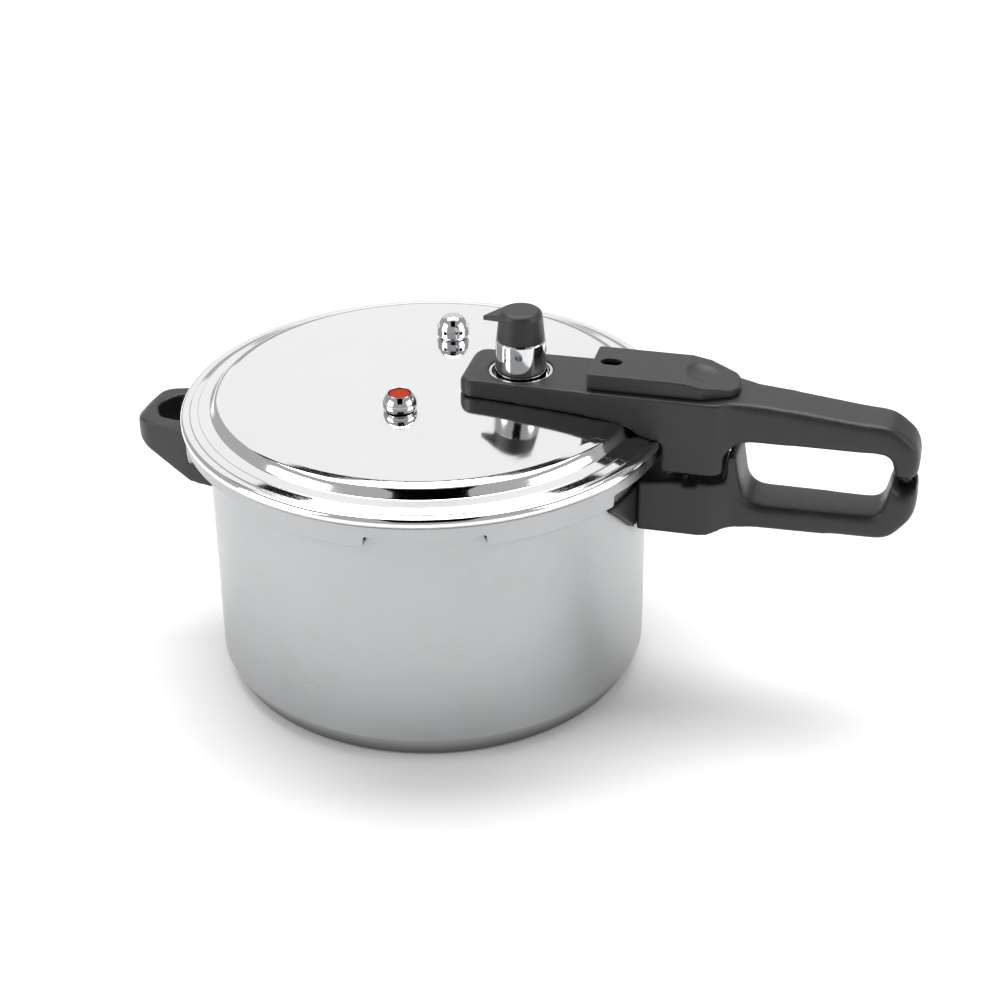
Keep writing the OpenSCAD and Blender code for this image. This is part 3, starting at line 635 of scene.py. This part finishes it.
@dataclass
class Regulator:
    """The chrome weight of the pressure regulator.

    Attributes:
        x: Distance of its axis from the middle of the lid, in mm.
        radius: Radius of the weight, in mm.
        foot: Level of its foot, in mm.
        top: Level of its top, in mm.
    """

    x: float = 48.0
    radius: float = 12.65
    foot: float = 158.2
    top: float = 180.3

    def build(self, materials: dict) -> None:
        """Makes the weight and puts it in its place.

        Args:
            materials: The material of each slot.
        """
        r = self.radius
        profile = rounded([
            (0, self.foot + 14, 0), (4.4, self.foot + 14, 0.3), (4.4, self.foot + 2.3, 0.3),
            (6, self.foot + 2.3, 0.3), (6, self.foot, 0.3), (r - 1.4, self.foot, 0.7),
            (r - 0.2, self.foot + 1.6, 1.0), (r, self.foot + 5, 4.0),
            (r - 0.35, self.top - 0.7, 0.4), (r - 0.9, self.top, 0.3), (0, self.top, 0)], 6)
        piece = finished_object("regulator_chrome", spun(profile, 96, (self.x, 0)), 35)
        holes = []
        for number in range(4):
            turn = math.radians(-81.5 + 90 * number)
            way = Vector((math.cos(turn), math.sin(turn), 0))
            start = Vector((self.x, 0, self.top - 5.2)) + way * 3
            holes.append(rod(1.7, 15, tuple(start), way))
        drilled(piece, holes)
        fit_piece(piece, "regulator", ("regulator_weight",), "chrome", materials)


@dataclass
class ReliefDome:
    """The chrome dome over the relief valve.

    Attributes:
        y: Distance of its axis behind the middle of the lid, in mm.
        radius: Radius of the dome, in mm.
        seat: Level of its foot, in mm.
    """

    y: float = 50.0
    radius: float = 8.3
    seat: float = 154.115

    def build(self, materials: dict) -> None:
        """Makes the dome and puts it in its place.

        Args:
            materials: The material of each slot.
        """
        r, z = self.radius, self.seat
        crown = [(r * math.cos(math.radians(a)) * 0.94, z + 5.0 + 7.2 * math.sin(math.radians(a)))
                 for a in range(12, 90, 6)]
        profile = rounded([
            (0, z + 9, 0), (5.2, z + 9, 0.3), (5.2, z + 1.7, 0.2), (7.1, z + 1.7, 0.2), (7.1, z, 0.2),
            (r - 0.9, z, 0.3), (r, z + 1.6, 0.5), (r - 0.15, z + 5.4, 0.7), (*crown[0], 0.3)], 4)
        profile += crown[1:] + [(0, z + 12.2)]
        piece = finished_object("relief_chrome", spun(profile, 72, (0, self.y)), 40)
        holes = []
        for number in range(6):
            turn = math.radians(-105 + 60 * number)
            way = Vector((math.cos(turn), math.sin(turn), 0))
            holes.append(rod(1.0, 7, tuple(Vector((0, self.y, z + 4.4)) + way * 4.2), way))
        drilled(piece, holes)
        fit_piece(piece, "lid", ("relief_dome",), "chrome", materials)


@dataclass
class Indicator:
    """The chrome guard of the pressure indicator and its red button.

    Attributes:
        centre: X and Y of its axis, in mm.
        radius: Radius of the guard, in mm.
        seat: Level of its foot, in mm.
        button: Radius of the button, in mm.
    """

    centre: tuple[float, float] = (-3.0, -37.0)
    radius: float = 8.4
    seat: float = 154.6
    button: float = 5.3

    def build(self, materials: dict) -> None:
        """Makes the guard and the button and puts them in their places.

        Args:
            materials: The material of each slot.
        """
        r, z, b = self.radius, self.seat, self.button
        belly = [(r * math.cos(math.radians(a)), z + 2.4 + 7.4 * math.sin(math.radians(a)))
                 for a in range(-6, 50, 5)]
        profile = rounded([
            (2.2, z - 7.4, 0), (4.0, z - 7.4, 0.3), (4.0, z - 0.2, 0.2), (r - 1.4, z, 0.4),
            (r - 0.5, z + 0.5, 0.4), (*belly[0], 0)], 4) + belly[1:] + rounded([
                (*belly[-1], 0), (b + 0.6, z + 8.4, 0.3), (b + 0.35, z + 7.6, 0.2),
                (b + 0.35, z + 2.6, 0.3), (2.2, z + 2.6, 0)], 4)[1:]
        guard = finished_object("indicator_chrome", spun(profile, 72, self.centre), 40)
        fit_piece(guard, "lid", ("indicator_guard",), "chrome", materials)
        under = z - 2.3
        stem = rounded([
            (0, under - 9.8, 0), (3.7, under - 9.8, 0.3), (3.7, under - 8.6, 0.3), (1.8, under - 8.6, 0.2),
            (1.8, z + 3, 0.2), (b, z + 3, 0.4), (b, z + 7.3, 0.5), (b - 0.8, z + 8.1, 0.6),
            (b - 1.7, z + 7.7, 0.8), (0, z + 7.4, 0)], 5)
        button = finished_object("indicator_red_button", spun(stem, 64, self.centre), 40)
        fit_piece(button, "indicator", ("indicator_button",), "red_silicone", materials)


# ---------------------------------------------------------------- studio


@dataclass
class Studio:
    """Floor, soft lights and camera.

    Attributes:
        eye: Place of the camera, in metres.
        heading_deg: The way that the camera looks, counted from +X.
        pitch_deg: How far it looks down.
        roll_deg: How far it is turned about its own axis.
        lens_mm: Focal length on a 36 mm sensor.
    """

    eye: tuple[float, float, float] = (0.2636, -0.8899, 0.6037)
    heading_deg: float = 104.3
    pitch_deg: float = 29.286
    roll_deg: float = -0.59
    lens_mm: float = 74.6
    toward: Vector = field(default_factory=lambda: Vector((0.284, -0.959, 0.0)))

    def stage_material(self, name: str, code: str, roughness: float,
                       specular: float = 0.5) -> bpy.types.Material:
        """Makes a plain matt material with a faint mottle.

        Args:
            name: Name of the material.
            code: Its colour, as sRGB hex.
            roughness: Its roughness.
            specular: Strength of its reflection.

        Returns:
            The material.
        """
        return Finish(name, code, code, 0.0, (roughness, roughness + 0.05), (2.0, 2.0, 2.0), 0.001, 300.0,
                      specular).build()

    def slab(self, name: str, size: tuple[float, float], place: Vector, faces: Vector,
             material: bpy.types.Material) -> None:
        """Adds a flat sheet to the stage.

        Args:
            name: Name of the sheet.
            size: Width and height, in metres.
            place: Its middle, in metres.
            faces: The way that it faces.
            material: Its material.
        """
        shape = bmesh.new()
        bmesh.ops.create_grid(shape, x_segments=1, y_segments=1, size=0.5)
        bmesh.ops.scale(shape, vec=(size[0], size[1], 1), verts=shape.verts)
        turn = faces.to_track_quat("Z", "Y").to_matrix().to_4x4()
        bmesh.ops.transform(shape, matrix=Matrix.Translation(place) @ turn, verts=shape.verts)
        sheet = finished_object(name, shape, 30)
        sheet.data.materials.append(material)

    def soft_light(self, name: str, power: float, size: tuple[float, float], place: Vector,
                   aim: Vector) -> None:
        """Adds a soft light.

        Args:
            name: Name of the light.
            power: Power in watts.
            size: Width and height, in metres.
            place: Its middle, in metres.
            aim: The point that it faces, in metres.
        """
        lamp = bpy.data.lights.new(name, "AREA")
        lamp.energy, lamp.shape, lamp.size, lamp.size_y = power, "RECTANGLE", size[0], size[1]
        holder = bpy.data.objects.new(name, lamp)
        holder.location = place
        holder.rotation_euler = (aim - place).to_track_quat("-Z", "Y").to_euler()
        bpy.context.scene.collection.objects.link(holder)

    def build(self) -> None:
        """Makes the floor, the lights and the camera."""
        world = bpy.data.worlds.new("studio_air")
        world.use_nodes = True
        world.node_tree.nodes["Background"].inputs["Color"].default_value = srgb("e0e0e0")
        world.node_tree.nodes["Background"].inputs["Strength"].default_value = 0.60
        bpy.context.scene.world = world
        bpy.context.scene.view_settings.view_transform = "Standard"

        away = -self.toward
        side = Vector((away.y, -away.x, 0))
        middle = Vector((0.0, 0.0, 0.14))
        self.slab("floor", (9.0, 9.0), Vector((0, 0, -0.0005)), Vector((0, 0, 1)),
                  self.stage_material("pale_studio_floor", "fafafa", 0.8))
        card = self.toward * 0.98 + Vector((0, 0, 1.50))
        black = self.stage_material("black_card", "020202", 0.9, 0.0)
        self.slab("dark_card", (0.95, 1.50), card, (middle - card).normalized(), black)
        strip = away * 1.25 + Vector((0, 0, 1.98))
        self.slab("dark_strip", (3.2, 0.30), strip, (middle - strip).normalized(), black)
        self.soft_light("back_softbox", 17, (3.8, 2.6), away * 2.3 + Vector((0, 0, 1.75)),
                        away * 0.4 + middle)
        self.soft_light("top_softbox", 42, (2.2, 1.0), away * 0.5 + Vector((0, 0, 2.0)), middle)
        for name, hand, power in (("left_softbox", -1, 20), ("right_softbox", 1, 15)):
            place = side * 1.9 * hand + self.toward * 0.7 + Vector((0, 0, 0.9))
            self.soft_light(name, power, (1.5, 1.3), place, middle)

        camera = bpy.data.cameras.new("camera")
        camera.sensor_width, camera.lens = 36.0, self.lens_mm
        holder = bpy.data.objects.new("camera", camera)
        turn = (Matrix.Rotation(math.radians(self.heading_deg - 90), 4, "Z")
                @ Matrix.Rotation(math.radians(90 - self.pitch_deg), 4, "X")
                @ Matrix.Rotation(math.radians(self.roll_deg), 4, "Z"))
        holder.matrix_world = Matrix.Translation(self.eye) @ turn
        bpy.context.scene.collection.objects.link(holder)
        bpy.context.scene.camera = holder


# ---------------------------------------------------------------- assembly


MOULDINGS = [
    Moulding(("upper_handle", "handle_cover"), "lid", 0.8, 12, 150, 100),
    Moulding(("lower_handle",), "pot", 0.8, 12, 150, 100),
    Moulding(("helper_handle",), "pot", 0.7, 24),
    Moulding(("lock_slider",), "slider", 0.45, 5),
    Moulding(("flame_guard",), "pot", 0.6, 3),
    Moulding(("regulator_cap",), "regulator", 0.3, 5),
    Moulding(("end_peg",), "lid", 0.25, 4),
]


def main() -> None:
    """Builds every piece, then the studio."""
    logging.basicConfig(level=logging.INFO)
    materials = {slot: finish.build() for slot, finish in FINISHES.items()}
    slots = {part["node"]: part["material_slot"] for part in frame["record"]["subparts"]}
    bodies = {node: body for body, nodes in frame["record"]["behaviour"]["bodies"].items()
              for node in nodes}

    for part in [Pot(), Lid(), Regulator(), ReliefDome(), Indicator(), *MOULDINGS]:
        LOG.info("building %s", part)
        part.build(materials)
    shaped = {"pot_body", "lid_shell", "regulator_weight", "relief_dome", "indicator_guard",
              "indicator_button"}
    shaped |= {node for moulding in MOULDINGS for node in moulding.nodes}
    for node, slot in slots.items():
        for holder in frame["nodes"][node].material_slots:
            holder.material = materials[slot]
        if node not in shaped:
            Turning(node, bodies[node], slot).build(materials)
    Studio().build()


if __name__ == "__main__":
    main()
